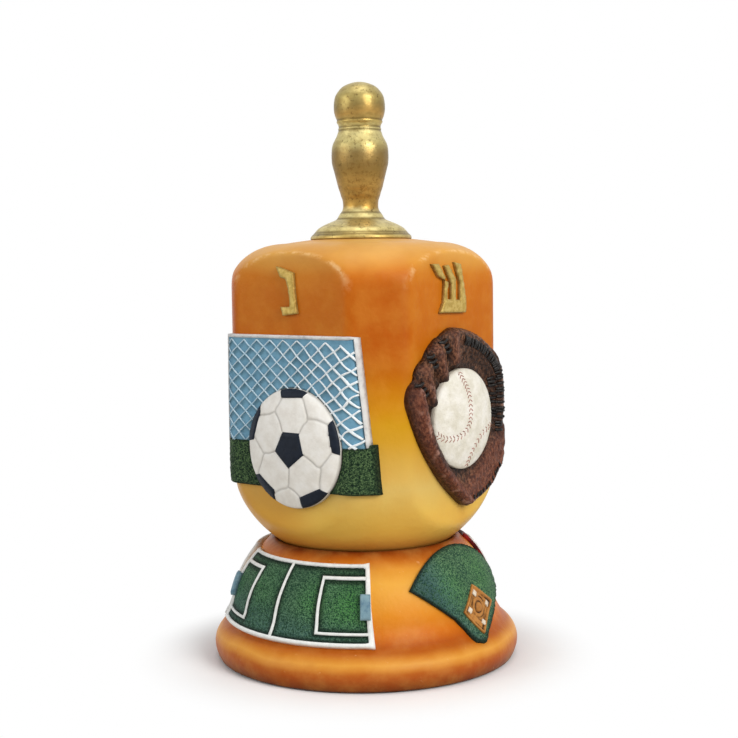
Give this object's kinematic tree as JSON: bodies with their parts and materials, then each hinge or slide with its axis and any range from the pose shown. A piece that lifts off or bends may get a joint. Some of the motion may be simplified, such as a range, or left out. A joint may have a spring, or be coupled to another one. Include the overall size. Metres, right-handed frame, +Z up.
{
  "type": "sports dreidel on stand",
  "caption": "Decorative faceted spinning top with a turned handle and raised sports figures, standing point down in the dish of a round bell-shaped stand.",
  "frame": {"origin": "centre of the stand's underside", "axes": "+Z up along the spin axis; -Y towards the soccer face, +X towards the baseball face"},
  "size_m": [0.0764, 0.0764, 0.1432],
  "materials": {
    "stand_resin": "airbrushed orange over cast resin",
    "body_resin": "airbrushed orange to golden yellow over cast resin",
    "pad_felt": "dark felt",
    "turf_paint": "stippled dark green paint",
    "outfield_paint": "stippled blue-green paint",
    "line_paint": "hand-painted white",
    "goal_blue": "washed blue paint",
    "dirt_paint": "copper brown paint",
    "court_red": "dark red paint",
    "point_steel": "turned steel",
    "handle_brass": "antique brass with dark patina",
    "ball_white": "off-white paint",
    "patch_navy": "navy black paint",
    "mitt_brown": "dark leather-brown paint",
    "mitt_red": "reddish brown paint",
    "lace_black": "black paint",
    "post_yellow": "yellow paint",
    "football_brown": "dark brown paint",
    "court_wood": "wood-coloured paint",
    "board_white": "white paint",
    "rim_orange": "orange-red paint",
    "basketball_orange": "orange-brown paint"
  },
  "bodies": {
    "stand": {"stand_base": "stand_resin", "felt_pad": "pad_felt", "pitch_turf": "turf_paint", "pitch_lines": "line_paint", "pitch_goals": "goal_blue", "ballpark_turf": "outfield_paint", "infield_diamond": "dirt_paint", "base_bags": "line_paint", "court_floor": "court_red", "court_lines": "line_paint", "gridiron_turf": "turf_paint", "yard_lines": "line_paint"},
    "point": {"tip_pin": "point_steel"},
    "dreidel": {"dreidel_body": "body_resin", "handle": "handle_brass", "handle_stud": "point_steel", "goal_panel": "goal_blue", "goal_net": "line_paint", "goal_frame": "line_paint", "turf_strip": "turf_paint", "soccer_ball": "ball_white", "ball_patches": "patch_navy", "mitt_palm": "mitt_brown", "mitt_fingers": "mitt_red", "mitt_heel": "mitt_red", "mitt_webbing": "mitt_brown", "mitt_lacing": "lace_black", "baseball": "ball_white", "football_turf": "turf_paint", "goalpost": "post_yellow", "football": "football_brown", "football_laces": "line_paint", "court_strip": "court_wood", "backboard": "board_white", "hoop_rim": "rim_orange", "hoop_net": "line_paint", "basketball": "basketball_orange"}
  },
  "joints": [
    {"name": "lift_off", "type": "slide", "parent": "stand", "child": "point", "axis": [0, 0, 1], "range_m": [0, 0.06]},
    {"name": "spin", "type": "hinge", "parent": "point", "child": "dreidel", "pos_m": [0, 0, 0.017], "axis": [0, 0, 1], "continuous": true}
  ]
}
